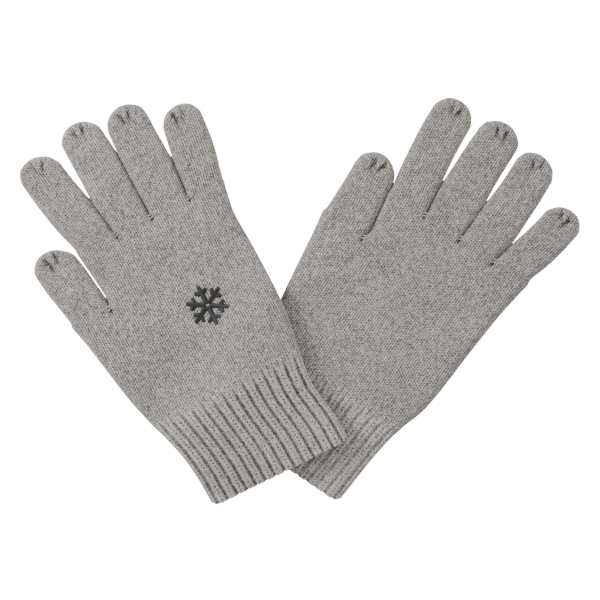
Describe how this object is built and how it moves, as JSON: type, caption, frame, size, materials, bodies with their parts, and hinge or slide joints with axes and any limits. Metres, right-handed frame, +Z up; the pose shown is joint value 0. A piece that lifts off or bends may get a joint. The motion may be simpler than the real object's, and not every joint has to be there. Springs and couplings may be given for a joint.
{
  "type": "knitted gloves",
  "caption": "Pair of knitted gloves with ribbed cuffs, lying flat and crossed at the cuffs, one back up with a small embroidered snowflake, the other palm up.",
  "frame": {"origin": "centre of the bottom of the box around both gloves as they lie, on the surface they lie on", "axes": "+Z up from the table, +X to the right and +Y towards the fingertips when the pair is seen from above with the cuffs nearest"},
  "size_m": [0.3232, 0.2366, 0.0188],
  "materials": {
    "knit": "warm grey marled knit, matt, stocking stitch with ribbed cuffs",
    "closing_yarn": "the same grey yarn, drawn tight",
    "embroidery": "black satin stitch, slight sheen",
    "backing": "white non-woven backing, matt"
  },
  "bodies": {
    "left_glove": {"left_hand": "knit", "left_cuff": "knit", "left_cuff_welt": "knit", "left_index_crotch_join": "closing_yarn", "left_middle_crotch_join": "closing_yarn", "left_ring_crotch_join": "closing_yarn", "left_thumb_crotch_join": "closing_yarn"},
    "right_glove": {"right_hand": "knit", "right_back_motif": "embroidery", "right_motif_backing": "backing", "right_index_crotch_join": "closing_yarn", "right_middle_crotch_join": "closing_yarn", "right_ring_crotch_join": "closing_yarn", "right_thumb_crotch_join": "closing_yarn"},
    "right_cuff": {"right_cuff": "knit", "right_cuff_welt": "knit"},
    "left_index_finger": {"left_index_finger": "knit", "left_index_tip_tie": "closing_yarn"},
    "left_middle_finger": {"left_middle_finger": "knit", "left_middle_tip_tie": "closing_yarn"},
    "left_ring_finger": {"left_ring_finger": "knit", "left_ring_tip_tie": "closing_yarn"},
    "left_little_finger": {"left_little_finger": "knit", "left_little_tip_tie": "closing_yarn"},
    "left_thumb": {"left_thumb": "knit", "left_thumb_tip_tie": "closing_yarn"},
    "right_index_finger": {"right_index_finger": "knit", "right_index_tip_tie": "closing_yarn"},
    "right_middle_finger": {"right_middle_finger": "knit", "right_middle_tip_tie": "closing_yarn"},
    "right_ring_finger": {"right_ring_finger": "knit", "right_ring_tip_tie": "closing_yarn"},
    "right_little_finger": {"right_little_finger": "knit", "right_little_tip_tie": "closing_yarn"},
    "right_thumb": {"right_thumb": "knit", "right_thumb_tip_tie": "closing_yarn"}
  },
  "joints": [
    {"name": "right_glove_lift", "type": "slide", "parent": "left_glove", "child": "right_glove", "axis": [0, 0, 1], "range_m": [0, 0.12]},
    {"name": "right_cuff_fold", "type": "hinge", "parent": "right_glove", "child": "right_cuff", "pos_m": [-0.04391, -0.04854, 0.019], "axis": [-0.891, -0.454, 0], "range_deg": [0, 75]},
    {"name": "left_index_fold", "type": "hinge", "parent": "left_glove", "child": "left_index_finger", "pos_m": [0.06218, 0.05677, 0.0092], "axis": [0.829, -0.5592, 0], "range_deg": [0, 90]},
    {"name": "left_middle_fold", "type": "hinge", "parent": "left_glove", "child": "left_middle_finger", "pos_m": [0.08274, 0.0429, 0.0092], "axis": [0.829, -0.5592, 0], "range_deg": [0, 90]},
    {"name": "left_ring_fold", "type": "hinge", "parent": "left_glove", "child": "left_ring_finger", "pos_m": [0.10272, 0.02942, 0.0092], "axis": [0.829, -0.5592, 0], "range_deg": [0, 90]},
    {"name": "left_little_fold", "type": "hinge", "parent": "left_glove", "child": "left_little_finger", "pos_m": [0.12187, 0.0165, 0.0092], "axis": [0.829, -0.5592, 0], "range_deg": [0, 90]},
    {"name": "left_thumb_fold", "type": "hinge", "parent": "left_glove", "child": "left_thumb", "pos_m": [0.02545, 0.04415, 0.0092], "axis": [0.829, -0.5592, 0], "range_deg": [0, 75]},
    {"name": "right_index_fold", "type": "hinge", "parent": "right_glove", "child": "right_index_finger", "pos_m": [-0.11787, 0.03274, 0.0092], "axis": [0.891, 0.454, 0], "range_deg": [0, 90]},
    {"name": "right_middle_fold", "type": "hinge", "parent": "right_glove", "child": "right_middle_finger", "pos_m": [-0.09657, 0.04359, 0.0092], "axis": [0.891, 0.454, 0], "range_deg": [0, 90]},
    {"name": "right_ring_fold", "type": "hinge", "parent": "right_glove", "child": "right_ring_finger", "pos_m": [-0.07555, 0.05431, 0.0092], "axis": [0.891, 0.454, 0], "range_deg": [0, 90]},
    {"name": "right_little_fold", "type": "hinge", "parent": "right_glove", "child": "right_little_finger", "pos_m": [-0.05443, 0.06507, 0.0092], "axis": [0.891, 0.454, 0], "range_deg": [0, 90]},
    {"name": "right_thumb_fold", "type": "hinge", "parent": "right_glove", "child": "right_thumb", "pos_m": [-0.12054, -0.00959, 0.0092], "axis": [0.891, 0.454, 0], "range_deg": [0, 75]}
  ]
}
